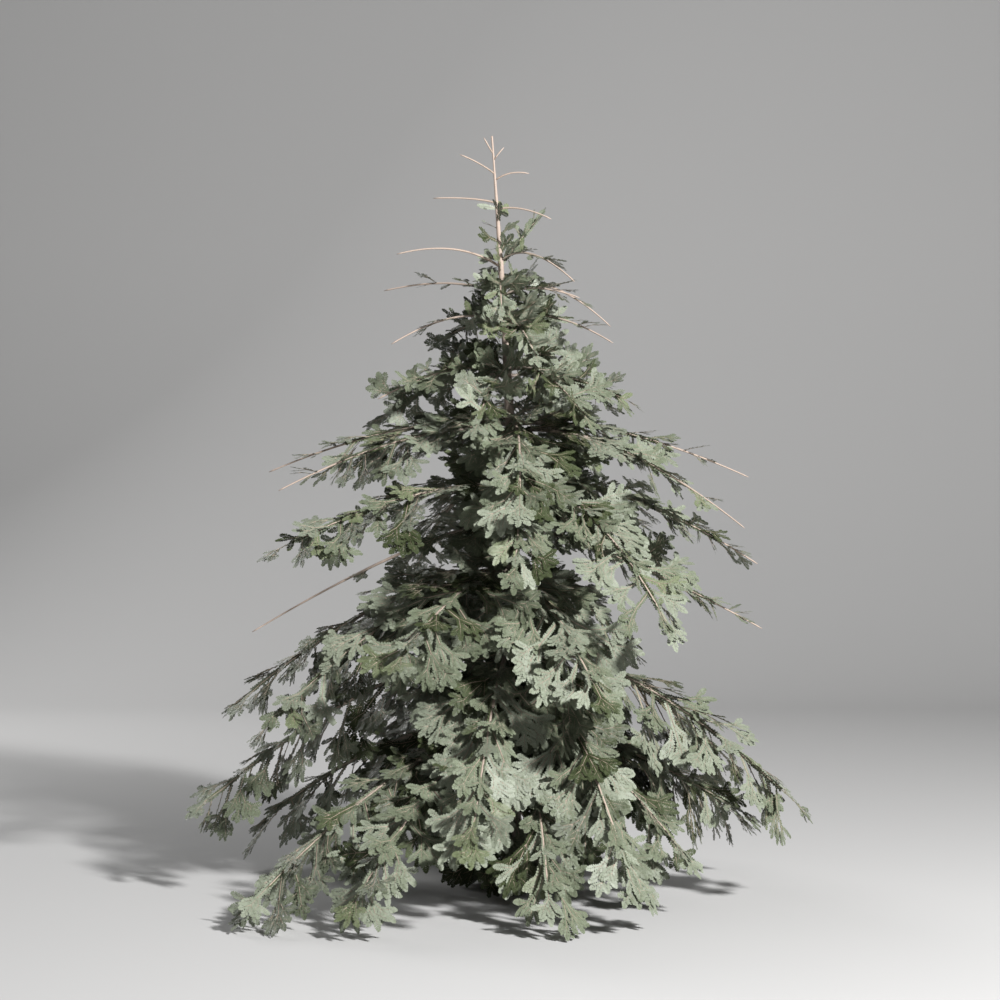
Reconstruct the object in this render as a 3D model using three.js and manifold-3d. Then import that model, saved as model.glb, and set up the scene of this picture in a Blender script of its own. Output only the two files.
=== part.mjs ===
// Fir sapling, rooted in the ground: one trunk, whorls of boughs, and flat sprays of needles along them.
// Millimetres, +Z up. The origin is the middle of the flat cut under the trunk, at ground level.
// Bearings are degrees in plan: 0 is +X, 90 is +Y, 180 is -X and 270 is -Y.
import * as THREE from "three";
import { mergeVertices } from "three/addons/utils/BufferGeometryUtils.js";
import Module from "manifold-3d";

const wasm = await Module();
wasm.setup();

// Trunk: a tapering stem with a lobed root flare, upright below and leaning over above LEAN_FROM.
const HEIGHT = 2337;
const TRUNK_RADIUS = 31;
const TRUNK_TIP_RADIUS = 3;
const TRUNK_TAPER = 0.75;
const FLARE = 13;
const FLARE_HEIGHT = 55;
const FLARE_LOBES = 5;
const FLARE_LOBE_DEPTH = 0.35;
const LEAN_FROM = 1300;
const LEAN = -62;
const LEAN_POWER = 1.2;
const TRUNK_SIDES = 15;
const TRUNK_STEPS = 18;
const TRUNK_RING_CROWDING = 1.6;

// Limbs: LIMB_TAPER is the radius gained towards the root per millimetre of length, LIMB_BEND and
// LIMB_SWEEP are shares of the reach, and WHORL_SCATTER sets neighbours in a whorl above and below.
const LIMB_TIP_RADIUS = 2.1;
const LIMB_TAPER = 0.006;
const LIMB_BEND = 0.4;
const LIMB_SWEEP = 0.08;
const WHORL_SCATTER = 10;
const BOUGH_END = 0.3;
const SEAT_GAP = 0.3;
const BOUGH_SIDES = 7;
const SHOOT_SIDES = 5;
const STEM_SIDES = 3;
const LIMB_STEP = 110;
const LIMB_STEPS_MIN = 3;

// Sprays of needles: spacing, thickness and heart are shares of a spray's length, the spacing by the spray
// at SPRAY_SPACING_AT of the limb. SPRAY_SHARE is that length as a share of the limb's, and droop is how far
// a spray aims down for each step it aims out: the whorl's hang at the least, and SPRAY_TIP_DROOP more at
// the limb's tip.
const LEAF_FROM = 0.12;
const SPRAY_SPACING = 0.415;
const SPRAY_SPACING_AT = 0.4;
const SPRAY_TAPER = 0.5;
const SPRAY_LENGTH_MAX = 280;
const SPRAY_LENGTH_MIN = 100;
const SPRAY_SHARE = 0.38;
const SPRAY_SIZE_LEAST = 0.85;
const SPRAY_SIZE_RANGE = 0.3;
const SPRAY_ANGLE = 52;
const SPRAY_ANGLE_RANGE = 0.4;
const SPRAY_DROOP_RANGE = 0.4;
const SPRAY_TIP_DROOP = 0.5;
const SPRAY_DROOP_TRIES = [0, -0.35, 0.35, -0.7];
const SPRAY_THICKNESS = 0.045;
const SPRAY_HEART = 0.28;
const TIP_SINK = 8;
const GROUND_CLEARANCE = 6;
const MASS_GAP = 0.8;

// Half of a spray's rim, forward and aside: its tip, two fingers with a notch before each, and its root.
const SPRAY_RIM = [[1, 0], [0.7, 0.08], [0.86, 0.27], [0.5, 0.13], [0.56, 0.37], [0, 0.015]];

const UP = new THREE.Vector3(0, 0, 1);
const radians = THREE.MathUtils.degToRad;

// One limb of a whorl: its bearing, horizontal reach, the height of its tip, the share of its length
// at which its foliage ends and a bare tip goes on, and whether its bare inner part shows as a bough.
function limb(bearing, reach, tip, leafy, bough = false) {
  return { bearing, reach, tip, leafy, bough };
}

// The first whorl is the fork at the leader's tip, two short shoots that belong to the trunk.
const LEADER_FORK = { height: 2272, rise: 55, limbs: [limb(195, 30, 2331, 0), limb(340, 34, 2300, 0)] };

// The other whorls from the second down, each with its limbs in order of bearing. Height is where the
// limbs leave the trunk, rise the pitch they leave at, and hang the least droop of their sprays.
const WHORLS = [
  { height: 2210, rise: 38, hang: 0, limbs: [limb(184, 108, 2279, 0), limb(352, 106, 2219, 0)] },
  { height: 2120, rise: 14, hang: 0, limbs: [limb(176, 197, 2146, 0), limb(345, 173, 2074, 0)] },
  {
    height: 1940,
    rise: 34,
    hang: -0.2,
    limbs: [limb(35, 170, 2125, 1), limb(185, 323, 1968, 0), limb(335, 250, 1875, 0.3)],
  },
  {
    height: 1854,
    rise: 25,
    hang: -0.5,
    limbs: [
      limb(24, 376, 1758, 0.35),
      limb(162, 393, 1869, 0.2),
      limb(270, 240, 1760, 1),
      limb(350, 240, 1832, 0.45),
    ],
  },
  {
    height: 1751,
    rise: 22,
    hang: -0.35,
    limbs: [
      limb(62, 390, 1690, 1),
      limb(128, 390, 1700, 1),
      limb(194, 357, 1686, 0.3),
      limb(288, 330, 1610, 1),
      limb(338, 356, 1686, 0.5),
    ],
  },
  {
    height: 1600,
    rise: 15,
    hang: -0.1,
    limbs: [
      limb(44, 500, 1490, 1),
      limb(142, 560, 1450, 1),
      limb(188, 402, 1519, 0.72),
      limb(255, 400, 1390, 1),
      limb(306, 440, 1410, 1),
      limb(354, 420, 1488, 1),
    ],
  },
  {
    height: 1432,
    rise: 8,
    hang: 0.1,
    limbs: [
      limb(10, 766, 1281, 0.6),
      limb(92, 720, 1290, 1),
      limb(172, 766, 1297, 0.66),
      limb(198, 732, 1237, 0.72),
      limb(272, 640, 1140, 1),
      limb(338, 750, 1125, 0.65),
    ],
  },
  {
    height: 1255,
    rise: 8,
    hang: -0.1,
    limbs: [
      limb(2, 765, 1010, 0.82),
      limb(50, 840, 930, 1),
      limb(114, 825, 950, 1),
      limb(213, 880, 1035, 1, true),
      limb(270, 520, 960, 1),
      limb(308, 760, 800, 1),
    ],
  },
  {
    height: 1150,
    rise: -12,
    hang: -0.3,
    limbs: [limb(180, 805, 800, 0.28), limb(354, 770, 815, 0.8)],
  },
  {
    height: 980,
    rise: 2,
    hang: 0.1,
    limbs: [
      limb(8, 420, 690, 1),
      limb(86, 880, 660, 1),
      limb(163, 980, 510, 1),
      limb(205, 860, 480, 1),
      limb(242, 740, 720, 1),
      limb(290, 780, 610, 1),
    ],
  },
  {
    height: 740,
    rise: 4,
    hang: 0.4,
    limbs: [
      limb(28, 870, 300, 1),
      limb(64, 930, 240, 1),
      limb(122, 980, 240, 1),
      limb(187, 1000, 235, 0.92),
      limb(262, 880, 210, 1),
      limb(294, 860, 80, 1),
      limb(344, 940, 250, 1, true),
    ],
  },
  {
    height: 500,
    rise: 6,
    hang: 0.3,
    limbs: [
      limb(15, 800, 160, 1),
      limb(92, 960, 110, 1),
      limb(150, 1000, 110, 1),
      limb(222, 1050, 30, 1),
      limb(241, 960, 60, 1),
      limb(277, 830, 60, 1),
      limb(318, 720, 130, 1),
      limb(341, 800, 230, 1),
    ],
  },
];

const bark = new THREE.MeshStandardMaterial({ color: 0xb9a594, roughness: 0.85, metalness: 0 });
const twigBark = new THREE.MeshStandardMaterial({ color: 0xc4ac9c, roughness: 0.8, metalness: 0 });
const needles = new THREE.MeshStandardMaterial({ color: 0x8b9a72, roughness: 0.6, metalness: 0 });

// A repeatable stream of numbers from 0 to 1.
function seeded(seed) {
  let state = Math.imul(seed, 2654435761) >>> 0;
  return () => {
    state = (Math.imul(state, 1664525) + 1013904223) >>> 0;
    return state / 4294967296;
  };
}

// A closed three.js geometry as a solid that can be joined and cut.
function solidOf(geometry) {
  const bare = geometry.index ? geometry.toNonIndexed() : geometry.clone();
  bare.deleteAttribute("normal");
  bare.deleteAttribute("uv");
  const merged = mergeVertices(bare, 1e-4);
  const vertProperties = merged.attributes.position.array;
  const triVerts = new Uint32Array(merged.index.array);
  return new wasm.Manifold(new wasm.Mesh({ numProp: 3, vertProperties, triVerts }));
}

// The largest body of a solid, as a geometry: scraps and sealed hollows are left out.
function geometryOf(solid) {
  const bodies = solid.decompose();
  const largest = bodies.reduce((best, body) => (body.volume() > best.volume() ? body : best));
  const mesh = largest.getMesh();
  const geometry = new THREE.BufferGeometry();
  geometry.setAttribute("position", new THREE.BufferAttribute(mesh.vertProperties, 3));
  geometry.setIndex(new THREE.BufferAttribute(mesh.triVerts, 1));
  return geometry.toNonIndexed();
}

// Moves every vertex of a geometry to where the function puts it.
function reshape(geometry, place) {
  const position = geometry.attributes.position;
  const point = new THREE.Vector3();
  for (let i = 0; i < position.count; i++) {
    point.fromBufferAttribute(position, i);
    const moved = place(point);
    position.setXYZ(i, moved.x, moved.y, moved.z);
  }
  return geometry;
}

// Where the trunk's axis is at a height: it stands upright below and leans above.
function trunkAxis(z) {
  const share = Math.max(0, (z - LEAN_FROM) / (HEIGHT - LEAN_FROM));
  return new THREE.Vector3(LEAN * share ** LEAN_POWER, 0, z);
}

function trunkRadius(z, around) {
  const stem = Math.max(TRUNK_TIP_RADIUS, TRUNK_RADIUS * (1 - z / HEIGHT) ** TRUNK_TAPER);
  const lobes = 1 + FLARE_LOBE_DEPTH * Math.cos(FLARE_LOBES * around);
  return stem + FLARE * lobes * Math.exp(-z / FLARE_HEIGHT);
}

// The trunk from its flat foot to its tip, with rings closer together in the root flare.
function trunkGeometry(extra) {
  const round = new THREE.CylinderGeometry(1, 1, 1, TRUNK_SIDES, TRUNK_STEPS);
  return reshape(round, (p) => {
    const z = HEIGHT * (p.y + 0.5) ** TRUNK_RING_CROWDING;
    const around = Math.atan2(p.x, p.z);
    const size = (trunkRadius(z, around) + extra) * Math.hypot(p.x, p.z);
    return trunkAxis(z).add(new THREE.Vector3(Math.sin(around) * size, -Math.cos(around) * size, 0));
  });
}

// A limb's centre line: it leaves the trunk at the whorl's rise, bends over and runs out to its tip.
// Neighbours in a whorl leave the trunk at slightly different heights.
function limbCurve(whorl, spec, index, random) {
  const root = trunkAxis(whorl.height + (index % 2 ? -WHORL_SCATTER : WHORL_SCATTER));
  const heading = new THREE.Vector3(Math.cos(radians(spec.bearing)), Math.sin(radians(spec.bearing)), 0);
  const aside = new THREE.Vector3().crossVectors(UP, heading);
  const bend = root.clone().addScaledVector(heading, LIMB_BEND * spec.reach);
  bend.z += LIMB_BEND * spec.reach * Math.tan(radians(whorl.rise));
  bend.addScaledVector(aside, LIMB_SWEEP * spec.reach * (2 * random() - 1));
  const tip = root.clone().addScaledVector(heading, spec.reach).setZ(spec.tip);
  return new THREE.QuadraticBezierCurve3(root, bend, tip);
}

function limbRadius(length, share) {
  return LIMB_TIP_RADIUS + LIMB_TAPER * length * (1 - share);
}

// The shares of a limb's length where its rings stand, between two of them.
function ringShares(curve, from, to) {
  const steps = Math.max(LIMB_STEPS_MIN, Math.round((curve.getLength() * (to - from)) / LIMB_STEP));
  return Array.from({ length: steps + 1 }, (_, i) => from + ((to - from) * i) / steps);
}

// The middle of a limb at a share of its length, on the straight run between two rings.
function limbMiddle(curve, rings, share) {
  const next = Math.max(1, rings.findIndex((ring) => ring >= share));
  const mix = (share - rings[next - 1]) / (rings[next] - rings[next - 1]);
  return curve.getPointAt(rings[next - 1]).lerp(curve.getPointAt(rings[next]), mix);
}

// A tapering limb that runs along a curve from ring to ring.
function limbGeometry(curve, rings, sides) {
  const length = curve.getLength();
  const steps = rings.length - 1;
  const round = new THREE.CylinderGeometry(1, 1, 1, sides, steps, false, Math.PI);
  return reshape(round, (p) => {
    const share = rings[Math.round((p.y + 0.5) * steps)];
    const along = curve.getTangentAt(share);
    const across = new THREE.Vector3().crossVectors(along, UP).normalize();
    const over = new THREE.Vector3().crossVectors(across, along);
    const size = limbRadius(length, share);
    return curve.getPointAt(share).addScaledVector(across, p.x * size).addScaledVector(over, p.z * size);
  });
}

// A point on the rim of a spray, forward and aside in shares of its length. Step 0 is the tip, and the
// steps count off to either side.
function sprayRim(step) {
  const [forward, aside] = SPRAY_RIM[Math.abs(step)];
  return [forward, aside * Math.sign(step)];
}

// One spray: a thin toothed blade whose root is sunk to the middle of the stem.
function spraySolid(root, along, across, length) {
  const over = new THREE.Vector3().crossVectors(across, along);
  const rim = 2 * SPRAY_RIM.length - 1;
  const blade = reshape(new THREE.SphereGeometry(1, rim, 2, Math.PI), (p) => {
    if (Math.hypot(p.x, p.z) < 0.5) {
      const heart = root.clone().addScaledVector(along, SPRAY_HEART * length);
      return heart.addScaledVector(over, 0.5 * p.y * SPRAY_THICKNESS * length);
    }
    const [forward, aside] = sprayRim(Math.round((Math.atan2(p.z, p.x) * rim) / (2 * Math.PI)));
    return root.clone().addScaledVector(along, forward * length).addScaledVector(across, aside * length);
  });
  return solidOf(blade);
}

// The length of a spray at a share of its limb's length: the longest are near the trunk.
function sprayLength(length, share) {
  const longest = Math.min(SPRAY_LENGTH_MAX, Math.max(SPRAY_LENGTH_MIN, SPRAY_SHARE * length));
  return longest * (1 - SPRAY_TAPER * share);
}

// The share of a limb's length where its stem ends: a leafy tip is one last spray that goes straight on.
function stemEnd(curve, spec) {
  return spec.leafy < 1 ? 1 : 1 - sprayLength(curve.getLength(), 1) / curve.getLength();
}

// The places of the sprays along a limb, on alternate sides and smaller towards the tip.
function sprayPlaces(grown) {
  const { curve, rings, spec, hang, random } = grown;
  const length = curve.getLength();
  const start = Math.max(rings[0], LEAF_FROM);
  const end = Math.min(spec.leafy, rings[rings.length - 1]);
  const spacing = SPRAY_SPACING * sprayLength(length, SPRAY_SPACING_AT);
  const count = Math.max(2, Math.round((length * (end - start)) / spacing));
  const places = Array.from({ length: count }, (_, i) => {
    const share = start + ((end - start) * (i + 0.5)) / count;
    const size = sprayLength(length, share / spec.leafy) * (SPRAY_SIZE_LEAST + SPRAY_SIZE_RANGE * random());
    const droop = hang + SPRAY_TIP_DROOP * share + SPRAY_DROOP_RANGE * random();
    return { share, size, droop, side: i % 2 ? 1 : -1, turn: random() - 0.5, tilt: random() - 0.5 };
  });
  if (spec.leafy < 1) return places;
  const share = end - TIP_SINK / length;
  const size = sprayLength(length, 1);
  return [{ share, size, droop: 0, side: 0, turn: 0, tilt: random() - 0.5 }, ...places];
}

// Aims one spray: out to the side of its limb and down, or straight on at the limb's tip.
function aimSpray(curve, place, more) {
  const along = curve.getTangentAt(place.share);
  const aside = new THREE.Vector3().crossVectors(UP, along).normalize();
  const angle = radians(SPRAY_ANGLE) * (1 + SPRAY_ANGLE_RANGE * place.turn) * place.side;
  const aim = along.clone().multiplyScalar(Math.cos(angle)).addScaledVector(aside, Math.sin(angle));
  aim.addScaledVector(UP, -place.droop - more).normalize();
  const across = place.side ? along.clone() : aside.clone();
  across.addScaledVector(aim, -across.dot(aim)).normalize();
  across.applyAxisAngle(aim, place.tilt);
  return { aim, across };
}

// The tree. All that stands is kept in a list, and a spray that would come too near any of it is left out.
const tree = new THREE.Group();
const standing = [];

function stand(name, solid, stem = false) {
  standing.push({ name, solid, stem, box: solid.boundingBox() });
}

function near(a, b) {
  return [0, 1, 2].every((i) => a.min[i] - MASS_GAP < b.max[i] && b.min[i] - MASS_GAP < a.max[i]);
}

function clear(name, solid) {
  const box = solid.boundingBox();
  if (box.min[2] < GROUND_CLEARANCE) return false;
  const others = standing.filter((other) => !(other.stem && other.name === name) && near(box, other.box));
  return others.every((other) => solid.minGap(other.solid, MASS_GAP) >= MASS_GAP);
}

function addMesh(name, solid, material) {
  const mesh = new THREE.Mesh(geometryOf(solid), material);
  mesh.name = name;
  tree.add(mesh);
}

const fork = LEADER_FORK.limbs.map((spec, i) => {
  const curve = limbCurve(LEADER_FORK, spec, i, seeded(100 + i));
  return solidOf(limbGeometry(curve, ringShares(curve, 0, 1), SHOOT_SIDES));
});
const trunk = fork.reduce((whole, shoot) => whole.add(shoot), solidOf(trunkGeometry(0)));
const trunkRoom = solidOf(trunkGeometry(SEAT_GAP));
stand("trunk", trunk);
addMesh("trunk", trunk, bark);

const masses = [];
WHORLS.forEach((whorl, w) => {
  whorl.limbs.forEach((spec, i) => {
    const number = w + 2;
    const label = `${String(number).padStart(2, "0")}${"abcdefgh"[i]}`;
    const random = seeded(100 * number + i);
    const curve = limbCurve(whorl, spec, i, random);
    const gap = SEAT_GAP / curve.getLength();
    const from = spec.bough ? BOUGH_END : 0;
    if (spec.bough) {
      const rings = ringShares(curve, 0, BOUGH_END - gap);
      const bough = solidOf(limbGeometry(curve, rings, BOUGH_SIDES)).subtract(trunkRoom);
      stand(`bough_${label}`, bough);
      addMesh(`bough_${label}`, bough, bark);
    }
    const leafy = spec.leafy > 0;
    const rings = ringShares(curve, from, stemEnd(curve, spec));
    const stem = solidOf(limbGeometry(curve, rings, leafy ? STEM_SIDES : SHOOT_SIDES));
    const seated = spec.bough ? stem : stem.subtract(trunkRoom);
    const name = leafy ? `foliage_${label}` : `bare_shoot_${label}`;
    stand(name, seated, true);
    if (leafy) masses.push({ name, solid: seated, curve, rings, spec, hang: whorl.hang, random });
    else addMesh(name, seated, twigBark);
  });
});

// The sprays go on limb by limb in turn, one at a time, so that no mass takes the room of its neighbours.
for (const mass of masses) mass.places = sprayPlaces(mass);
const rounds = Math.max(...masses.map((mass) => mass.places.length));
for (let round = 0; round < rounds; round++) {
  for (const mass of masses) {
    const place = mass.places[round];
    if (!place) continue;
    const root = limbMiddle(mass.curve, mass.rings, place.share);
    for (const more of SPRAY_DROOP_TRIES) {
      const { aim, across } = aimSpray(mass.curve, place, more);
      const spray = spraySolid(root, aim, across, place.size);
      if (!clear(mass.name, spray)) continue;
      stand(mass.name, spray);
      mass.solid = mass.solid.add(spray);
      break;
    }
  }
}
for (const mass of masses) addMesh(mass.name, mass.solid, needles);

export default tree;
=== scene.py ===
# Fir sapling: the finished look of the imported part, in metres, +Z up.
# The tree is put together from the ground up: trunk, limbs, sprays of twigs, needles, then the studio.
import math
import bmesh
import bpy
import numpy as np
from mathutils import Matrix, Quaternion, Vector, noise


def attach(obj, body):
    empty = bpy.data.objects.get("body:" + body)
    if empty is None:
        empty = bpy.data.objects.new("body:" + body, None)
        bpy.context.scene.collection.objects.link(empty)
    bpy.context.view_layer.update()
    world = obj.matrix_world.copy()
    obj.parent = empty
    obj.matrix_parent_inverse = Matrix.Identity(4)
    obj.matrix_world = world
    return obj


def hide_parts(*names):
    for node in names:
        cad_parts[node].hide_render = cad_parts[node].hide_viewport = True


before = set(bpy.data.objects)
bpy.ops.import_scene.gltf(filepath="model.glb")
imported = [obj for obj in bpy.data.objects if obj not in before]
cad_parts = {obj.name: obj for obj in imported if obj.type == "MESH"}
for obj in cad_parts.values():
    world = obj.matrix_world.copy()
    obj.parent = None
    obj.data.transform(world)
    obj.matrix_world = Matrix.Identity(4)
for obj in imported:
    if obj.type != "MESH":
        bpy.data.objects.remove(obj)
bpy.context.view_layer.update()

# Trunk
# A young fir's single stem, from its flat foot at the ground to the leader's tip. Its bark is smooth and
# grey-beige, pinker where it is young, with shallow cracks at the foot and a collar at each whorl.
TRUNK_HEIGHT = 2.337
TRUNK_RADIUS = 0.031
TRUNK_TIP_RADIUS = 0.003
TRUNK_TAPER = 0.75
FLARE = 0.013
FLARE_HEIGHT = 0.055
FLARE_LOBES = 5
FLARE_LOBE_DEPTH = 0.35
LEAN_FROM = 1.3
LEAN = -0.062
LEAN_POWER = 1.2
TRUNK_SIDES = 36
TRUNK_STEPS = 260
COLLAR = 0.0022
COLLAR_HEIGHT = 0.016
CRACK_DEPTH = 0.0016
CRACK_SCALES = (5, 9)
BLISTER_HEIGHT = 0.0024
BLISTER_SCALES = (4, 60)
BLISTER_FROM = 0.25
YOUNG_FROM = 0.35
OLD_BARK = (0.30, 0.255, 0.215, 1)
YOUNG_BARK = (0.52, 0.41, 0.34, 1)
CRACK_COLOUR = (0.13, 0.10, 0.08, 1)
BLOTCH_SCALE = 34
BLOTCH_CONTRAST = 0.7
GRAIN_SCALE = 420
GRAIN_CONTRAST = 0.35
LENTICEL_SCALE = 150
LENTICEL_FLATNESS = 4.5
LENTICEL_EDGE = (0.60, 0.72)
LENTICEL_CONTRAST = 0.75
LENTICEL_END = 1.1
LENTICEL_RELIEF = 0.8
BARK_ROUGHNESS = 0.62
BARK_ROUGHNESS_RANGE = 0.3
BARK_BUMP = {"Strength": 0.35, "Distance": 0.0012}


class Shade:
    """One socket of a material's nodes, so that shader maths reads as Python expressions."""

    def __init__(self, tree, socket=None):
        self.tree = tree
        self.socket = socket

    def node(self, kind, settings=None, inputs=None, output=0):
        made = self.tree.nodes.new(kind)
        for name, value in (settings or {}).items():
            setattr(made, name, value)
        for name, value in (inputs or {}).items():
            if isinstance(value, Shade):
                self.tree.links.new(value.socket, made.inputs[name])
            else:
                made.inputs[name].default_value = value
        return Shade(self.tree, made.outputs[output])

    def math(self, operation, first, second):
        return self.node("ShaderNodeMath", {"operation": operation}, {0: first, 1: second})

    def __add__(self, other):
        return self.math("ADD", self, other)

    def __sub__(self, other):
        return self.math("SUBTRACT", self, other)

    def __rsub__(self, other):
        return self.math("SUBTRACT", other, self)

    def __mul__(self, other):
        return self.math("MULTIPLY", self, other)

    __radd__ = __add__
    __rmul__ = __mul__

    def noise(self, spot, scale, detail):
        return self.node("ShaderNodeTexNoise", inputs={"Vector": spot, "Scale": scale, "Detail": detail})

    def step(self, low, high):
        limits = {"Value": self, "From Min": low, "From Max": high}
        return self.node("ShaderNodeMapRange", {"interpolation_type": "SMOOTHSTEP"}, limits)

    def blend(self, first, second):
        """A mix of two colours, through the Mix node's own factor and colour sockets."""
        return self.node("ShaderNodeMix", {"data_type": "RGBA"}, {0: self, 6: first, 7: second}, output=2)

    def feed(self, shader, name):
        self.tree.links.new(self.socket, shader.inputs[name])


def new_finish(name):
    finish = bpy.data.materials.new(name)
    finish.use_nodes = True
    tree = finish.node_tree
    return finish, tree.nodes["Principled BSDF"], Shade(tree)


def bark_finish(name, old, young, crack):
    """Bark that turns from its old to its young colour as the mesh's youth says, blotched and flecked."""
    finish, shader, start = new_finish(name)
    spot = start.node("ShaderNodeTexCoord", output="Object")
    youth = start.node("ShaderNodeAttribute", {"attribute_name": "youth"}, output="Fac")
    blotch = start.noise(spot, BLOTCH_SCALE, detail=4)
    grain = start.noise(spot, GRAIN_SCALE, detail=3)
    flat = start.node("ShaderNodeMapping", inputs={"Vector": spot, "Scale": (1, 1, LENTICEL_FLATNESS)})
    lenticel = start.noise(flat, LENTICEL_SCALE, detail=2).step(*LENTICEL_EDGE)
    colour = (youth + BLOTCH_CONTRAST * (blotch - 0.5)).step(0, 1).blend(old, young)
    colour = (LENTICEL_CONTRAST * lenticel * (LENTICEL_END - youth)).blend(colour, crack)
    colour = (GRAIN_CONTRAST * (1 - grain)).blend(colour, crack)
    colour.feed(shader, "Base Color")
    (BARK_ROUGHNESS + BARK_ROUGHNESS_RANGE * grain).feed(shader, "Roughness")
    relief = {"Height": grain + LENTICEL_RELIEF * lenticel, **BARK_BUMP}
    start.node("ShaderNodeBump", inputs=relief).feed(shader, "Normal")
    return finish


def whorl(height, rise, hang, *limbs):
    """Limbs in order of bearing that leave the trunk at one height and pitch, whose sprays hang alike."""
    return {"height": height, "rise": rise, "hang": hang, "limbs": limbs}


def limb(bearing, reach, tip, leafy, bough=False):
    """A limb's bearing, horizontal reach, the height of its tip, the share of its length at which its
    foliage ends and a bare tip goes on, and whether its bare inner part shows as a bough."""
    return {"bearing": bearing, "reach": reach, "tip": tip, "leafy": leafy, "bough": bough}


WHORLS = [
    whorl(2.272, 55, 0, limb(195, 0.030, 2.331, 0), limb(340, 0.034, 2.300, 0)),
    whorl(2.210, 38, 0, limb(184, 0.108, 2.279, 0), limb(352, 0.106, 2.219, 0)),
    whorl(2.120, 14, 0, limb(176, 0.197, 2.146, 0), limb(345, 0.173, 2.074, 0)),
    whorl(
        1.940,
        34,
        -0.2,
        limb(35, 0.170, 2.125, 1),
        limb(185, 0.323, 1.968, 0),
        limb(335, 0.250, 1.875, 0.3),
    ),
    whorl(
        1.854,
        25,
        -0.5,
        limb(24, 0.376, 1.758, 0.35),
        limb(162, 0.393, 1.869, 0.2),
        limb(270, 0.240, 1.760, 1),
        limb(350, 0.240, 1.832, 0.45),
    ),
    whorl(
        1.751,
        22,
        -0.35,
        limb(62, 0.390, 1.690, 1),
        limb(128, 0.390, 1.700, 1),
        limb(194, 0.357, 1.686, 0.3),
        limb(288, 0.330, 1.610, 1),
        limb(338, 0.356, 1.686, 0.5),
    ),
    whorl(
        1.600,
        15,
        -0.1,
        limb(44, 0.500, 1.490, 1),
        limb(142, 0.560, 1.450, 1),
        limb(188, 0.402, 1.519, 0.72),
        limb(255, 0.400, 1.390, 1),
        limb(306, 0.440, 1.410, 1),
        limb(354, 0.420, 1.488, 1),
    ),
    whorl(
        1.432,
        8,
        0.1,
        limb(10, 0.766, 1.281, 0.6),
        limb(92, 0.720, 1.290, 1),
        limb(172, 0.766, 1.297, 0.66),
        limb(198, 0.732, 1.237, 0.72),
        limb(272, 0.640, 1.140, 1),
        limb(338, 0.750, 1.125, 0.65),
    ),
    whorl(
        1.255,
        8,
        -0.1,
        limb(2, 0.765, 1.010, 0.82),
        limb(50, 0.840, 0.930, 1),
        limb(114, 0.825, 0.950, 1),
        limb(213, 0.880, 1.035, 1, True),
        limb(270, 0.520, 0.960, 1),
        limb(308, 0.760, 0.800, 1),
    ),
    whorl(1.150, -12, -0.3, limb(180, 0.805, 0.800, 0.28), limb(354, 0.770, 0.815, 0.8)),
    whorl(
        0.980,
        2,
        0.1,
        limb(8, 0.420, 0.690, 1),
        limb(86, 0.880, 0.660, 1),
        limb(163, 0.980, 0.510, 1),
        limb(205, 0.860, 0.480, 1),
        limb(242, 0.740, 0.720, 1),
        limb(290, 0.780, 0.610, 1),
    ),
    whorl(
        0.740,
        4,
        0.4,
        limb(28, 0.870, 0.300, 1),
        limb(64, 0.930, 0.240, 1),
        limb(122, 0.980, 0.240, 1),
        limb(187, 1.000, 0.235, 0.92),
        limb(262, 0.880, 0.210, 1),
        limb(294, 0.860, 0.080, 1),
        limb(344, 0.940, 0.250, 1, True),
    ),
    whorl(
        0.500,
        6,
        0.3,
        limb(15, 0.800, 0.160, 1),
        limb(92, 0.960, 0.110, 1),
        limb(150, 1.000, 0.110, 1),
        limb(222, 1.050, 0.030, 1),
        limb(241, 0.960, 0.060, 1),
        limb(277, 0.830, 0.060, 1),
        limb(318, 0.720, 0.130, 1),
        limb(341, 0.800, 0.230, 1),
    ),
]


def trunk_axis(z):
    share = max(0.0, (z - LEAN_FROM) / (TRUNK_HEIGHT - LEAN_FROM))
    return Vector((LEAN * share**LEAN_POWER, 0, z))


def trunk_radius(z, around):
    stem = max(TRUNK_TIP_RADIUS, TRUNK_RADIUS * max(0.0, 1 - z / TRUNK_HEIGHT) ** TRUNK_TAPER)
    lobes = 1 + FLARE_LOBE_DEPTH * math.cos(FLARE_LOBES * around)
    return stem + FLARE * lobes * math.exp(-z / FLARE_HEIGHT)


def trunk_noise(z, around, scales):
    """Noise over the trunk's surface, with one scale round the trunk and one up it."""
    wide, tall = scales
    return noise.noise(Vector((wide * math.cos(around), wide * math.sin(around), tall * z)))


def trunk_relief(z, around):
    """How far the bark stands out: collars at the whorls, cracks near the foot and resin blisters."""
    collars = sum(math.exp(-(((z - level["height"]) / COLLAR_HEIGHT) ** 2)) for level in WHORLS)
    crack = max(0.0, trunk_noise(z, around, CRACK_SCALES))
    blister = max(0.0, trunk_noise(z, around, BLISTER_SCALES) - BLISTER_FROM)
    age = max(0.0, 1 - z / TRUNK_HEIGHT)
    collar = COLLAR * min(1, collars) * math.sqrt(age)
    return collar + age * (BLISTER_HEIGHT * blister - CRACK_DEPTH * crack)


def bark_tube(bm, sides, steps, place):
    """Adds a closed tube of rings to the bmesh. The place function gives each vertex its point and its youth
    by its share of the tube's length and its angle round the tube."""
    before = len(bm.verts)
    ends = bmesh.ops.create_cone(bm, cap_ends=True, segments=sides, radius1=1, radius2=1, depth=1)["verts"]
    uprights = {e for v in ends for e in v.link_edges if e.verts[0].co.z * e.verts[1].co.z < 0}
    bmesh.ops.subdivide_edges(bm, edges=list(uprights), cuts=steps - 1, use_grid_fill=True)
    bm.verts.ensure_lookup_table()
    youth = bm.verts.layers.float["youth"]
    for vert in bm.verts[before:]:
        share = vert.co.z + 0.5
        vert.co, vert[youth] = place(share, math.atan2(vert.co.y, vert.co.x))


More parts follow.
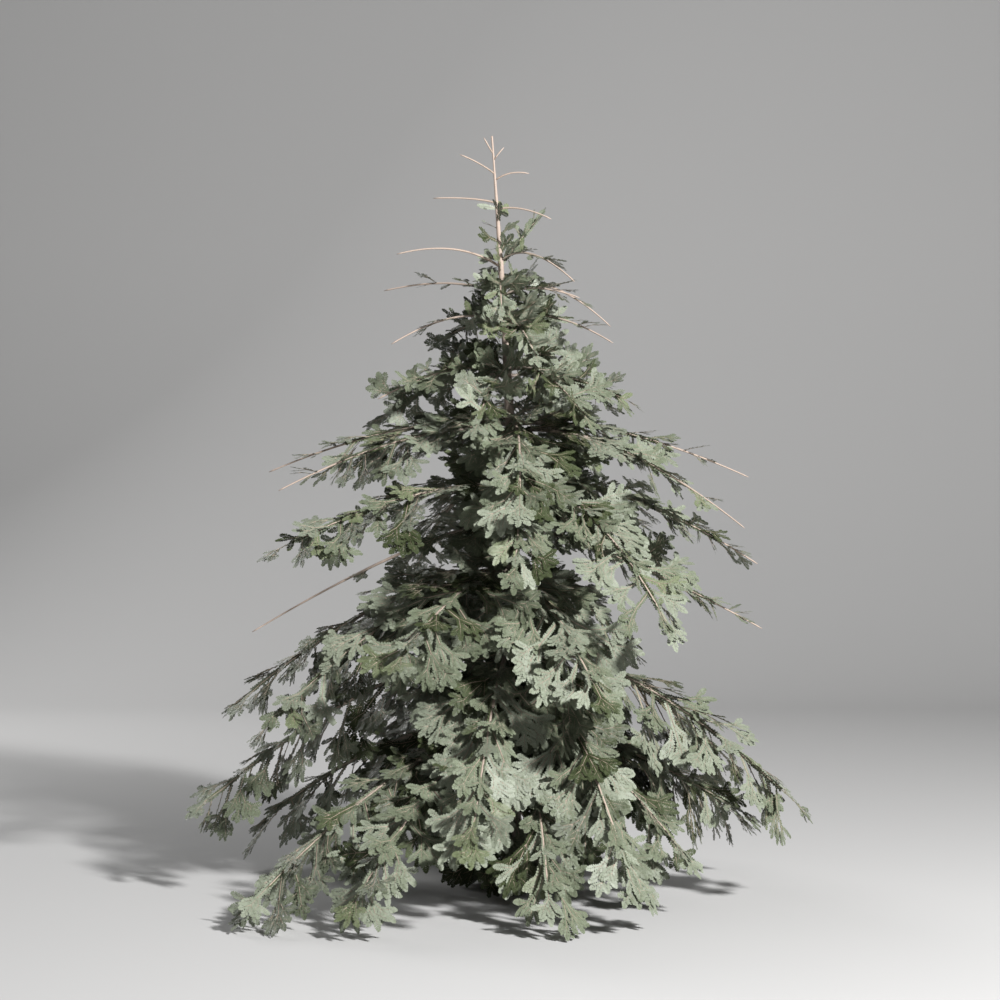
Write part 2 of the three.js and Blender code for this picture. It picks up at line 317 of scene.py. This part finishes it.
def new_bark():
    bm = bmesh.new()
    bm.verts.layers.float.new("youth")
    return bm


def add_piece(mesh, finishes, nodes):
    """Adds a mesh to the tree as a piece that stands for its nodes, under the mesh's name."""
    for finish in finishes:
        mesh.materials.append(finish)
    piece = bpy.data.objects.new(mesh.name, mesh)
    bpy.context.scene.collection.objects.link(piece)
    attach(piece, "root")
    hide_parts(*nodes)


def bark_piece(name, bm, finish, nodes):
    bmesh.ops.recalc_face_normals(bm, faces=bm.faces)
    mesh = bpy.data.meshes.new(name)
    bm.to_mesh(mesh)
    bm.free()
    mesh.shade_smooth()
    add_piece(mesh, [finish], nodes)


def place_on_trunk(share, around):
    z = TRUNK_HEIGHT * share
    size = trunk_radius(z, around) + trunk_relief(z, around) * (share < 1)
    rim = Vector((math.cos(around), math.sin(around), 0)) * size
    return trunk_axis(z) + rim, max(0.0, share - YOUNG_FROM) / (1 - YOUNG_FROM)


fir_bark = bark_finish("fir_bark", OLD_BARK, YOUNG_BARK, CRACK_COLOUR)
trunk_mesh = new_bark()
bark_tube(trunk_mesh, TRUNK_SIDES, TRUNK_STEPS, place_on_trunk)
bark_piece("trunk_bark", trunk_mesh, fir_bark, ["trunk"])

# Limbs
# Boughs in whorls, one tapering limb each: they leave the trunk, arch over and droop to their tips. The bark
# is the trunk's, pinker towards the tip; the leader's own side shoots are bare and end in a blunt bud.
LIMB_TIP_RADIUS = 0.0021
LIMB_TAPER = 0.006
LIMB_TAPER_POWER = 1.3
LIMB_BEND = 0.4
LIMB_SWEEP = 0.08
WHORL_SCATTER = 0.010
LIMB_SIDES = 8
LIMB_RING_STEP = 0.016
KNOT_DEPTH = 0.10
KNOT_SCALE = 70
KNOT_TURN = 1.5
WRINKLE_DEPTH = 0.05
WRINKLE_SCALE = 3
BUD_LENGTH = 0.012
BUD_SWELL = 0.0012
BUD_MIDDLE = 0.6
BUD_SHARPNESS = 3
TIP_BLUNTNESS = 0.12
YOUTH_POWER = 0.7
SHOOT_BARK = (0.45, 0.35, 0.28, 1)
SHOOT_BARK_YOUNG = (0.58, 0.46, 0.38, 1)
LINE_SAMPLES = 200
SPRAY_LENGTH_MAX = 0.280
SPRAY_LENGTH_MIN = 0.100
SPRAY_SHARE = 0.38
SPRAY_TAPER = 0.5
UP = Vector((0, 0, 1))


def seeded(seed):
    """A repeatable stream of numbers from 0 to 1, by a linear congruential rule with its usual factors."""
    state = (seed * 2654435761) % 2**32
    while True:
        state = (state * 1664525 + 1013904223) % 2**32
        yield state / 2**32


class Line:
    """A limb's centre line, read by the share of its length."""

    def __init__(self, root, bend, tip):
        t = np.linspace(0, 1, LINE_SAMPLES + 1)[:, None]
        root, bend, tip = np.array(root), np.array(bend), np.array(tip)
        self.points = (1 - t) ** 2 * root + 2 * t * (1 - t) * bend + t**2 * tip
        runs = np.linalg.norm(np.diff(self.points, axis=0), axis=1)
        self.length = float(runs.sum())
        self.shares = np.concatenate([[0], np.cumsum(runs)]) / self.length

    def point(self, share):
        return Vector([np.interp(share, self.shares, axis) for axis in self.points.T])

    def along(self, share):
        step = 1 / LINE_SAMPLES
        return (self.point(min(1, share + step)) - self.point(max(0, share - step))).normalized()


def limb_line(level, spec, index, random):
    """The line of a limb: neighbours in a whorl leave the trunk at slightly different heights."""
    root = trunk_axis(level["height"] + (-WHORL_SCATTER if index % 2 else WHORL_SCATTER))
    turn = math.radians(spec["bearing"])
    heading = Vector((math.cos(turn), math.sin(turn), 0))
    bend = root + heading * LIMB_BEND * spec["reach"]
    bend.z += LIMB_BEND * spec["reach"] * math.tan(math.radians(level["rise"]))
    bend += UP.cross(heading) * LIMB_SWEEP * spec["reach"] * (2 * next(random) - 1)
    tip = root + heading * spec["reach"]
    tip.z = spec["tip"]
    return Line(root, bend, tip)


def spray_length(line, share):
    longest = min(SPRAY_LENGTH_MAX, max(SPRAY_LENGTH_MIN, SPRAY_SHARE * line.length))
    return longest * (1 - SPRAY_TAPER * share)


def stem_end(line, leafy):
    """Where a limb's own stem ends: a leafy tip goes on as one last spray."""
    return 1 if leafy < 1 else 1 - spray_length(line, 1) / line.length


def add_limb(bm, line, end, bud):
    """Adds one limb's bark: a tapering tube with knots and wrinkles, rounded over or budded at its tip."""
    steps = round(line.length * end / LIMB_RING_STEP)

    def place(share, around):
        run = share * end
        along = line.along(run)
        across = along.cross(UP).normalized()
        rim = across * math.cos(around) + across.cross(along) * math.sin(around)
        size = LIMB_TIP_RADIUS + LIMB_TAPER * line.length * (1 - run) ** LIMB_TAPER_POWER
        spot = line.point(run) * KNOT_SCALE + rim * KNOT_TURN
        size *= 1 + KNOT_DEPTH * noise.noise(spot) + WRINKLE_DEPTH * noise.noise(spot * WRINKLE_SCALE)
        left = (1 - share) * line.length * end
        if bud:
            size += BUD_SWELL * math.exp(-((left / BUD_LENGTH - BUD_MIDDLE) ** 2) * BUD_SHARPNESS)
        size *= math.sqrt(min(1, left / (2 * LIMB_TIP_RADIUS) + TIP_BLUNTNESS))
        return line.point(run) + rim * size, run**YOUTH_POWER

    bark_tube(bm, LIMB_SIDES, steps, place)


limbs = []
for level_number, level in enumerate(WHORLS, 1):
    for index, spec in enumerate(level["limbs"]):
        random = seeded(100 * level_number + index)
        line = limb_line(level, spec, index, random)
        label = f"{level_number:02d}{'abcdefgh'[index]}"
        grown = {"label": label, "level": level_number, "hang": level["hang"], "line": line}
        limbs.append({**grown, **spec, "random": random})

bough_mesh = new_bark()
shoot_mesh = new_bark()
for grown in limbs:
    end = stem_end(grown["line"], grown["leafy"])
    add_limb(bough_mesh if grown["leafy"] else shoot_mesh, grown["line"], end, grown["leafy"] < 1)

shoot_bark = bark_finish("shoot_bark", SHOOT_BARK, SHOOT_BARK_YOUNG, CRACK_COLOUR)
bough_nodes = [f"bough_{grown['label']}" for grown in limbs if grown["bough"]]
bare = [grown for grown in limbs if not grown["leafy"] and grown["level"] > 1]
shoot_nodes = [f"bare_shoot_{grown['label']}" for grown in bare]
bark_piece("bough_bark", bough_mesh, fir_bark, bough_nodes)
bark_piece("leader_shoots", shoot_mesh, shoot_bark, shoot_nodes)

# Twigs
# Flat sprays of thin woody twigs that grow from the limbs and the trunk, sideways, rising or hanging, their
# upper faces turned to the light. Each is a stalk that forks in three, its forks fork again, and the last
# ones are blunt shoots as long as a finger.
LEAF_FROM = 0.04
BOUGH_END = 0.3
SPRAYS_LEAST = 4
SPRAY_GAP_LEAST = 0.011
SPRAY_GAP = 0.047
SPRAY_GAP_SHARE = 0.4
SPRAY_SCATTER = (0.2, 0.8)
SPRAY_SIZES = (0.6, 1.05)
LOW_SPRAYS_FROM = 11
LOW_SPRAY_SIZES = (0.65, 1.35)
SPRAY_ROLL = 34
FACE_OUT = 0.5
FACE_SUN = 0.75
SUNNY_SIDE = Vector((0.5, -0.87, 0))
FLAT_SIDE = Vector((1, 0, 0))
FLATTENING = 0.4
RISING_TO = 7
SPRAY_CROWDING = 1.2
COVER_EVERY = 3
COVER_AIM = {"size": 0.75, "angle": (-6, 30), "droop": (-0.35, 0.0), "hang": 0, "up": 1.0, "out": 0.5}
SIDE_AIM = {"size": 1.0, "angle": (32, 78), "droop": (-0.25, 0.65), "hang": 1, "up": 1.0, "out": 1}
RISING_AIM = {"size": 1.0, "angle": (25, 70), "droop": (-1.2, 0.6), "hang": 0, "up": 0.1, "out": 1}
TIP_DROOP = 0.5
STRAY_SHOOTS = 4
STRAY_REACH = 0.5
STRAY_ANGLES = (15, 50)
STRAY_DROOP = (-0.6, 0.4)
STRAY_LENGTHS = (0.045, 0.095)
INNER_TOP = 2.13
INNER_FOOT = 0.09
INNER_STEP = 0.008
INNER_STEPS = (0.5, 1.5)
INNER_FEWER_FROM = 0.35
INNER_TURN = math.radians(137.5)
INNER_ROLL = 40
INNER_LENGTH = (0.03, 0.20)
INNER_SHORT_FROM = 0.45
INNER_SIZES = (0.8, 1.2)
INNER_DROOP = (-1.2, 0.0)
INNER_HANG = 1.6
INNER_HANG_FROM = 0.15
STALK_SHARE = 0.42
FORK_ANGLE = 27
LOBE_ANGLE = 44
FORK_TURNS = (0.8, 1.2)
FORK_SKEW = 0.15
FORK_SIDE = 0.50
SHOOT_LENGTH = 0.062
TWIG_LENGTHS = (0.85, 1.15)
TWIG_SAG = 0.12
TWIG_ROLL = 0.125
TWIG_RADIUS = 0.0009
TWIG_TAPER = 0.006
STALK_TAPER = 0.8
CROSSWISE = (0.0, 0.3, 0.95)
GROUND_CLEARANCE = 0.009
NEEDLE_LENGTH = 0.0124
STALK_NEEDLE_LENGTH = 0.0105
CLAD_FROM = 0.3
CLAD_STEP = 0.05
CLAD_LEANS = (-40, 0, 40)
CLAD_NEEDLE_LENGTH = 0.012
# Needle tints with painted shade and painted light: deep is a darkened sage for shade, pale a lightened sage
# for light, new a fresher yellow-green.
TINTS = ["deep", "sage", "pale", "new"]
TINT_LIMITS = {0.35: (0.45, 0.92, 1.0), 0.75: (0.15, 0.62, 0.96), math.inf: (0.05, 0.45, 0.90)}


def between(low, high, random):
    return low + (high - low) * next(random)


def deal_tint(light, value):
    """The tint of a spray, as its number in TINTS, with painted shade and painted light: most are deep or
    sage where the shade would fall, and sage, pale or new where the light would fall. The light goes from 0
    to 1 along a limb and up the tree."""
    limits = next(limits for dimmer_than, limits in TINT_LIMITS.items() if light < dimmer_than)
    return sum(value > limit for limit in limits)


def grow_spray(crown, root, aim, across, length, tint, random):
    """A spray: a stalk that forks in three until what is left is one shoot. It bends along the ground rather
    than into it."""
    lowest = (GROUND_CLEARANCE - root.z) / length
    if aim.z < lowest:
        level = Vector((aim.x, aim.y, 0)).normalized()
        aim = level * math.sqrt(1 - lowest**2) + UP * lowest
    across = (across - aim * across.dot(aim)).normalized()
    shoot = length < SHOOT_LENGTH
    stalk = length if shoot else length * STALK_SHARE * between(*TWIG_LENGTHS, random)
    fork = root + aim * stalk
    thick = TWIG_RADIUS + TWIG_TAPER * (length - SHOOT_LENGTH) * (not shoot)
    crown["shoots" if shoot else "stalks"].append((*root, *fork, thick))
    reach = NEEDLE_LENGTH if shoot else STALK_NEEDLE_LENGTH
    crown["strips"].append((*root, *aim, *across, stalk, reach, tint))
    if shoot:
        return
    aim = (aim - TWIG_SAG * UP).normalized()
    across = (across - aim * across.dot(aim)).normalized()
    over = across.cross(aim)
    spread = LOBE_ANGLE if length * (1 - STALK_SHARE) < SHOOT_LENGTH else FORK_ANGLE
    for side in (0, 1, -1):
        part = FORK_SIDE if side else 1 - STALK_SHARE
        child = length * part * between(*TWIG_LENGTHS, random)
        turn = side * between(*FORK_TURNS, random) + between(-FORK_SKEW, FORK_SKEW, random)
        turn = math.radians(spread * turn)
        child_aim = aim * math.cos(turn) + across * math.sin(turn)
        child_aim = (child_aim + over * between(-TWIG_ROLL, TWIG_ROLL, random)).normalized()
        child_across = across * math.cos(turn) - aim * math.sin(turn)
        child_across = (child_across - child_aim * child_across.dot(child_aim)).normalized()
        grow_spray(crown, fork, child_aim, child_across, child, tint, random)


def aim_aside(along, turn, angle, droop):
    """The aim of a spray that leaves its limb at an angle, on alternate sides by turns, and droops."""
    aside = UP.cross(along).normalized() * (1 if turn % 2 else -1)
    return (along * math.cos(angle) + aside * math.sin(angle) - droop * UP).normalized()


def clothe_limb(crown, grown):
    """Sets a limb with sprays on alternate sides, smaller towards its tip, and one that goes straight on, or
    a few stray shoots where the tip is bare. Most sprays go out to the side and hang as their whorl does,
    some lie over the limb. All turn their upper faces out from the trunk and to the tree's sunny side."""
    line = grown["line"]
    random = grown["random"]
    first = BOUGH_END if grown["bough"] else LEAF_FROM
    end = min(grown["leafy"], stem_end(line, grown["leafy"]))
    low = grown["level"] >= LOW_SPRAYS_FROM
    sizes = LOW_SPRAY_SIZES if low else SPRAY_SIZES
    gap = SPRAY_GAP_LEAST + SPRAY_GAP * spray_length(line, SPRAY_GAP_SHARE) * sum(sizes) / 2
    count = max(SPRAYS_LEAST, round(line.length * (end - first) / gap))
    for i in range(count):
        share = first + (end - first) * ((i + between(*SPRAY_SCATTER, random)) / count) ** SPRAY_CROWDING
        cover = i % COVER_EVERY == 0
        style = COVER_AIM if cover else RISING_AIM if grown["level"] <= RISING_TO else SIDE_AIM
        size = spray_length(line, share / grown["leafy"]) * between(*sizes, random) * style["size"]
        angle = math.radians(between(*style["angle"], random))
        along = line.along(share)
        heading = Vector((along.x, along.y, 0)).normalized()
        flat = 0 if low else FLATTENING * max(0, heading.dot(FLAT_SIDE))
        hang = grown["hang"] + TIP_DROOP * share - flat
        droop = between(*style["droop"], random) + style["hang"] * hang
        turn = i // COVER_EVERY if cover else i
        aim = aim_aside(along, turn, angle, droop)
        facing = style["up"] * (UP - along * along.z).normalized()
        facing += style["out"] * (FACE_OUT * heading + FACE_SUN * SUNNY_SIDE)
        across = aim.cross(facing).normalized()
        across.rotate(Quaternion(aim, math.radians(between(-SPRAY_ROLL, SPRAY_ROLL, random))))
        # Painted light and shade: sprays further out along the limb or higher up the tree are dealt paler
        # tints, inner and low ones deep.
        tint = deal_tint(max(share, line.point(share).z / TRUNK_HEIGHT), next(random))
        grow_spray(crown, line.point(share), aim, across, size, tint, random)
    runs = np.linspace(CLAD_FROM, end, 1 + math.ceil(line.length * max(0, end - CLAD_FROM) / CLAD_STEP))
    for here, there in zip(runs, runs[1:]):
        step = line.point(there) - line.point(here)
        along = step.normalized()
        aside = UP.cross(along).normalized()
        for lean in CLAD_LEANS:
            across = aside.copy()
            across.rotate(Quaternion(along, math.radians(lean)))
            # Painted shade: cladding needles near the trunk are dealt deeper tints, paler towards the tip.
            tint = deal_tint(here, next(random))
            strip = (*line.point(here), *along, *across, step.length, CLAD_NEEDLE_LENGTH, tint)
            crown["strips"].append(strip)
    for i in range(STRAY_SHOOTS if grown["leafy"] < 1 else 0):
        share = end + STRAY_REACH * (1 - end) * next(random)
        angle = math.radians(between(*STRAY_ANGLES, random))
        aim = aim_aside(line.along(share), i, angle, between(*STRAY_DROOP, random))
        size = min(between(*STRAY_LENGTHS, random), (1 - share) * line.length)
        # Painted light: stray shoots near the bare tip are dealt tints by their share along the limb.
        tint = deal_tint(share, next(random))
        grow_spray(crown, line.point(share), aim, aim.cross(UP).normalized(), size, tint, random)
    if grown["leafy"] == 1:
        along = line.along(end)
        aside = UP.cross(along).normalized()
        # Painted light: the tip spray is dealt from the palest tints.
        tint = deal_tint(1, next(random))
        grow_spray(crown, line.point(end), along, aside, spray_length(line, 1), tint, random)


def clothe_trunk(crown, foot, top):
    """Sets a length of the trunk with inner sprays, each turned on from the one below. They hang more the
    further they are from the tree's top, and are shorter and fewer near it."""
    random = seeded(round(1000 * top))
    short, long = INNER_LENGTH
    z, turn = foot, 0
    while z < top:
        left = 1 - z / TRUNK_HEIGHT
        heading = Vector((math.cos(turn), math.sin(turn), 0))
        droop = between(*INNER_DROOP, random) + INNER_HANG * max(0, left - INNER_HANG_FROM)
        aim = (heading - droop * UP).normalized()
        across = aim.cross(UP + SUNNY_SIDE).normalized()
        across.rotate(Quaternion(aim, math.radians(between(-INNER_ROLL, INNER_ROLL, random))))
        size = (short + (long - short) * min(1, left / INNER_SHORT_FROM)) * between(*INNER_SIZES, random)
        # Painted shade and light: inner sprays low on the trunk are dealt deep tints, high ones paler.
        tint = deal_tint(1 - left, next(random))
        grow_spray(crown, trunk_axis(z), aim, across, size, tint, random)
        z += INNER_STEP * between(*INNER_STEPS, random) / min(1, left / INNER_FEWER_FROM)
        turn += INNER_TURN


def array_mesh(name, points, faces, indices=None):
    """A mesh from arrays of points and triangles, with a finish index for each triangle where given."""
    mesh = bpy.data.meshes.new(name)
    mesh.vertices.add(len(points))
    mesh.vertices.foreach_set("co", points.astype(np.float32).ravel())
    mesh.loops.add(faces.size)
    mesh.loops.foreach_set("vertex_index", faces.astype(np.int32).ravel())
    mesh.polygons.add(len(faces))
    mesh.polygons.foreach_set("loop_start", np.arange(0, faces.size, 3, dtype=np.int32))
    if indices is not None:
        mesh.polygons.foreach_set("material_index", indices.astype(np.int32))
    mesh.update(calc_edges=True)
    return mesh


def twig_arrays(twigs, pointed):
    """Three-sided twigs as points and triangles: shoots run to a point, stalks are cut off at both ends."""
    rows = np.array(twigs)
    start, end, thick = rows[:, 0:3], rows[:, 3:6], rows[:, 6:7]
    along = end - start
    along /= np.linalg.norm(along, axis=1, keepdims=True)
    across = np.cross(along, CROSSWISE)
    across /= np.linalg.norm(across, axis=1, keepdims=True)
    over = np.cross(along, across)
    turns = (0, 2 * math.pi / 3, 4 * math.pi / 3)
    rim = [thick * (across * math.cos(turn) + over * math.sin(turn)) for turn in turns]
    near = [start + out for out in rim]
    if pointed:
        corners = near + [end]
        pattern = [(0, 1, 3), (1, 2, 3), (2, 0, 3), (0, 2, 1)]
    else:
        corners = near + [end + STALK_TAPER * out for out in rim]
        pattern = [(i, (i + 1) % 3, 3 + (i + 1) % 3) for i in range(3)]
        pattern += [(i, 3 + (i + 1) % 3, 3 + i) for i in range(3)]
        pattern += [(0, 2, 1), (3, 4, 5)]
    points = np.stack(corners, axis=1).reshape(-1, 3)
    faces = np.array(pattern)[None] + len(corners) * np.arange(len(rows))[:, None, None]
    return points, faces.reshape(-1, 3)


TIERS = [
    ("04", "05", "06", "07"),
    ("08",),
    ("09", "10"),
    ("11",),
    ("12a", "12b", "12c", "12d"),
    ("12e", "12f", "12g"),
    ("13a", "13b", "13c", "13d"),
    ("13e", "13f", "13g", "13h"),
]
crowns = []
top = INNER_TOP
for tier in TIERS:
    crown = {"stalks": [], "shoots": [], "strips": [], "nodes": []}
    for grown in limbs:
        if grown["label"].startswith(tier) and grown["leafy"]:
            clothe_limb(crown, grown)
            crown["nodes"].append(f"foliage_{grown['label']}")
    last = int(tier[-1][:2])
    foot = WHORLS[last]["height"] if last < len(WHORLS) else INNER_FOOT
    clothe_trunk(crown, foot, top)
    top = foot
    crowns.append(crown)

for number, crown in enumerate(crowns, 1):
    stalk_points, stalk_faces = twig_arrays(crown["stalks"], False)
    shoot_points, shoot_faces = twig_arrays(crown["shoots"], True)
    points = np.concatenate([stalk_points, shoot_points])
    faces = np.concatenate([stalk_faces, shoot_faces + len(stalk_points)])
    twig_mesh = array_mesh(f"twigs_tier_{number}", points, faces)
    add_piece(twig_mesh, [shoot_bark], crown["nodes"])

# Needles
# Flat blunt needles, set close along both sides of every shoot and short along the stalks. They are sage
# green with a waxy bloom, one tint to a spray, with painted shade and painted light: a deep green stands for
# shade inside the crown and low down, a pale green for light further out and higher, and a fresher
# yellow-green comes at the tips.
PAIRS_LEAST = 2
NEEDLE_SPACING = 0.0053
STALK_NEEDLE_SPACING = 0.0078
NEEDLE_WIDTH = 0.0057
STALK_NEEDLE_WIDTH = 0.0076
NEEDLE_BASE = 0.6
NEEDLE_ANGLE = 60
STALK_NEEDLE_ANGLE = 50
NEEDLE_TURNS = (0.92, 1.08)
NEEDLE_LIFTS = (-0.12, 0.2)
NEEDLE_LENGTHS = (0.94, 1.06)
ROOT_NEEDLE = 0.4
ROOT_GROWTH = 1.7
TIP_CLOSING = 0.85
TIP_CLOSING_POWER = 4
TIP_SHORTENING = 0.45
TIP_SHORTENING_POWER = 6
# Two close colours for each tint; deep is sage darkened as painted shade, pale is sage lightened as painted
# light.
NEEDLE_COLOURS = {
    "deep": ((0.037, 0.049, 0.017, 1), (0.064, 0.080, 0.035, 1)),
    "sage": ((0.112, 0.132, 0.080, 1), (0.173, 0.198, 0.135, 1)),
    "pale": ((0.182, 0.205, 0.145, 1), (0.249, 0.277, 0.209, 1)),
    "new": ((0.127, 0.152, 0.075, 1), (0.182, 0.209, 0.124, 1)),
}
PATCH_SCALE = 22
PATCH_SHARE = 0.7
BLOOM_SCALE = 190
BLOOM_SHARE = 0.6
SHADE_EDGE = (0.45, 0.85)
NEEDLE_ROUGHNESS = 0.38
BLOOM_ROUGHNESS = 0.32


def needle_finish(tint):
    """Waxy needles: two close shades of the tint in soft patches, with a bloom that dulls the gloss."""
    finish, shader, start = new_finish(f"needles_{tint}")
    spot = start.node("ShaderNodeTexCoord", output="Object")
    patch = start.noise(spot, PATCH_SCALE, detail=3)
    bloom = start.noise(spot, BLOOM_SCALE, detail=2)
    shade = (PATCH_SHARE * patch + BLOOM_SHARE * bloom).step(*SHADE_EDGE)
    shade.blend(*NEEDLE_COLOURS[tint]).feed(shader, "Base Color")
    (NEEDLE_ROUGHNESS + BLOOM_ROUGHNESS * bloom).feed(shader, "Roughness")
    return finish


def needle_arrays(strips, dice):
    """Needles along every strip, as points, triangles and tints. Each is a flat blunt blade, shorter at the
    shoot's root, and those at its end close in to a rounded tip."""
    rows = np.array(strips)
    run, reach, tint = rows[:, 9:].T
    on_shoot = reach == NEEDLE_LENGTH
    pairs = np.round(run / np.where(on_shoot, NEEDLE_SPACING, STALK_NEEDLE_SPACING))
    pairs = np.maximum(PAIRS_LEAST, pairs).astype(int)
    owner = np.repeat(np.arange(len(rows)), 2 * pairs)
    first = np.repeat(np.cumsum(2 * pairs) - 2 * pairs, 2 * pairs)
    order = np.arange(len(owner)) - first
    share = (order // 2 + 0.5) / pairs[owner]
    side = np.where(order % 2, 1.0, -1.0)
    root, aim, across = rows[owner, 0:3], rows[owner, 3:6], rows[owner, 6:9]
    over = np.cross(across, aim)
    over *= np.where(over[:, 2:3] < 0, -1.0, 1.0)
    on_shoot = on_shoot[owner]
    closing = NEEDLE_ANGLE * (1 - TIP_CLOSING * share**TIP_CLOSING_POWER)
    angle = np.radians(np.where(on_shoot, closing, STALK_NEEDLE_ANGLE))
    angle *= dice.uniform(*NEEDLE_TURNS, len(owner)) * side
    lift = dice.uniform(*NEEDLE_LIFTS, len(owner))
    out = aim * np.cos(angle)[:, None] + across * np.sin(angle)[:, None] + over * lift[:, None]
    out /= np.linalg.norm(out, axis=1, keepdims=True)
    rounding = ROOT_NEEDLE + (1 - ROOT_NEEDLE) * np.minimum(1, ROOT_GROWTH * share)
    rounding *= 1 - TIP_SHORTENING * share**TIP_SHORTENING_POWER
    length = reach[owner] * dice.uniform(*NEEDLE_LENGTHS, len(owner)) * np.where(on_shoot, rounding, 1)
    wide = np.cross(out, over)
    width = np.where(on_shoot, NEEDLE_WIDTH, STALK_NEEDLE_WIDTH)[:, None]
    wide *= 0.5 * width / np.linalg.norm(wide, axis=1, keepdims=True)
    base = root + aim * (run[owner] * share)[:, None]
    tip = base + out * length[:, None]
    corners = [base + NEEDLE_BASE * wide, tip + wide, tip - wide, base - NEEDLE_BASE * wide]
    points = np.stack(corners, axis=1).reshape(-1, 3)
    pattern = np.array([(0, 1, 2), (0, 2, 3)])
    faces = (pattern[None] + len(corners) * np.arange(len(owner))[:, None, None]).reshape(-1, 3)
    return points, faces, np.repeat(tint[owner], len(pattern))


needle_finishes = [needle_finish(tint) for tint in TINTS]
for number, crown in enumerate(crowns, 1):
    dice = np.random.default_rng(number)
    needle_mesh = array_mesh(f"needles_tier_{number}", *needle_arrays(crown["strips"], dice))
    add_piece(needle_mesh, needle_finishes, crown["nodes"])

# Studio
# A pale floor that curves up into a backdrop behind the tree, a lamp at the right and in front, a large weak
# one behind, a weak fill all round, and a level camera at the height of the tree's middle.
FLOOR_HALF = 9.0
BACKDROP_HEIGHT = 7.0
BACKDROP_CURVE = 3.0
BACKDROP_STEPS = 16
FLOOR_COLOUR = (0.54, 0.535, 0.53, 1)
FLOOR_ROUGHNESS = 0.9
LAMPS = {
    "key_lamp": {"place": Vector((4.3, -6.2, 5.0)), "size": 0.7, "power": 1350},
    "back_lamp": {"place": Vector((-4.5, 5.5, 4.5)), "size": 3.0, "power": 220},
}
LAMP_TARGET = Vector((0, 0, 1.0))
FILL_COLOUR = (0.95, 0.98, 1.0, 1)
FILL_STRENGTH = 0.09
CAMERA_PLACE = (-0.037, -6.9, 1.209)
CAMERA_LENS = 80.13


def push(bm, edges, offset):
    """Draws edges out into faces by the offset, and gives the new edges at their far side."""
    swept = bmesh.ops.extrude_edge_only(bm, edges=edges)["geom"]
    corners = [item for item in swept if isinstance(item, bmesh.types.BMVert)]
    bmesh.ops.translate(bm, verts=corners, vec=offset)
    return [edge for edge in bm.edges if all(vert in corners for vert in edge.verts)]


floor_mesh = bmesh.new()
front = [floor_mesh.verts.new((x, -FLOOR_HALF, 0)) for x in (-FLOOR_HALF, FLOOR_HALF)]
curve_from = FLOOR_HALF - BACKDROP_CURVE
back = push(floor_mesh, [floor_mesh.edges.new(front)], (0, FLOOR_HALF + curve_from, 0))
turned = bmesh.ops.spin(
    floor_mesh,
    geom=back,
    cent=(0, curve_from, BACKDROP_CURVE),
    axis=(1, 0, 0),
    angle=math.pi / 2,
    steps=BACKDROP_STEPS,
)["geom_last"]
upper = [item for item in turned if isinstance(item, bmesh.types.BMEdge)]
push(floor_mesh, upper, (0, 0, BACKDROP_HEIGHT))
backdrop = bpy.data.meshes.new("studio_floor")
floor_mesh.to_mesh(backdrop)
floor_mesh.free()
backdrop.shade_smooth()
floor_finish, floor_shader, _ = new_finish("studio_paper")
floor_shader.inputs["Base Color"].default_value = FLOOR_COLOUR
floor_shader.inputs["Roughness"].default_value = FLOOR_ROUGHNESS
backdrop.materials.append(floor_finish)
floor = bpy.data.objects.new("studio_floor", backdrop)
bpy.context.scene.collection.objects.link(floor)

for name, lamp in LAMPS.items():
    light = bpy.data.objects.new(name, bpy.data.lights.new(name, "AREA"))
    light.data.size = lamp["size"]
    light.data.energy = lamp["power"]
    light.location = lamp["place"]
    light.rotation_euler = (LAMP_TARGET - lamp["place"]).to_track_quat("-Z", "Y").to_euler()
    bpy.context.scene.collection.objects.link(light)

world = bpy.data.worlds.new("studio_fill")
world.use_nodes = True
fill = world.node_tree.nodes["Background"]
fill.inputs["Color"].default_value = FILL_COLOUR
fill.inputs["Strength"].default_value = FILL_STRENGTH
bpy.context.scene.world = world
bpy.context.scene.view_settings.view_transform = "Standard"

camera = bpy.data.objects.new("camera", bpy.data.cameras.new("camera"))
camera.data.lens = CAMERA_LENS
camera.location = CAMERA_PLACE
camera.rotation_euler = (math.pi / 2, 0, 0)
bpy.context.scene.collection.objects.link(camera)
bpy.context.scene.camera = camera
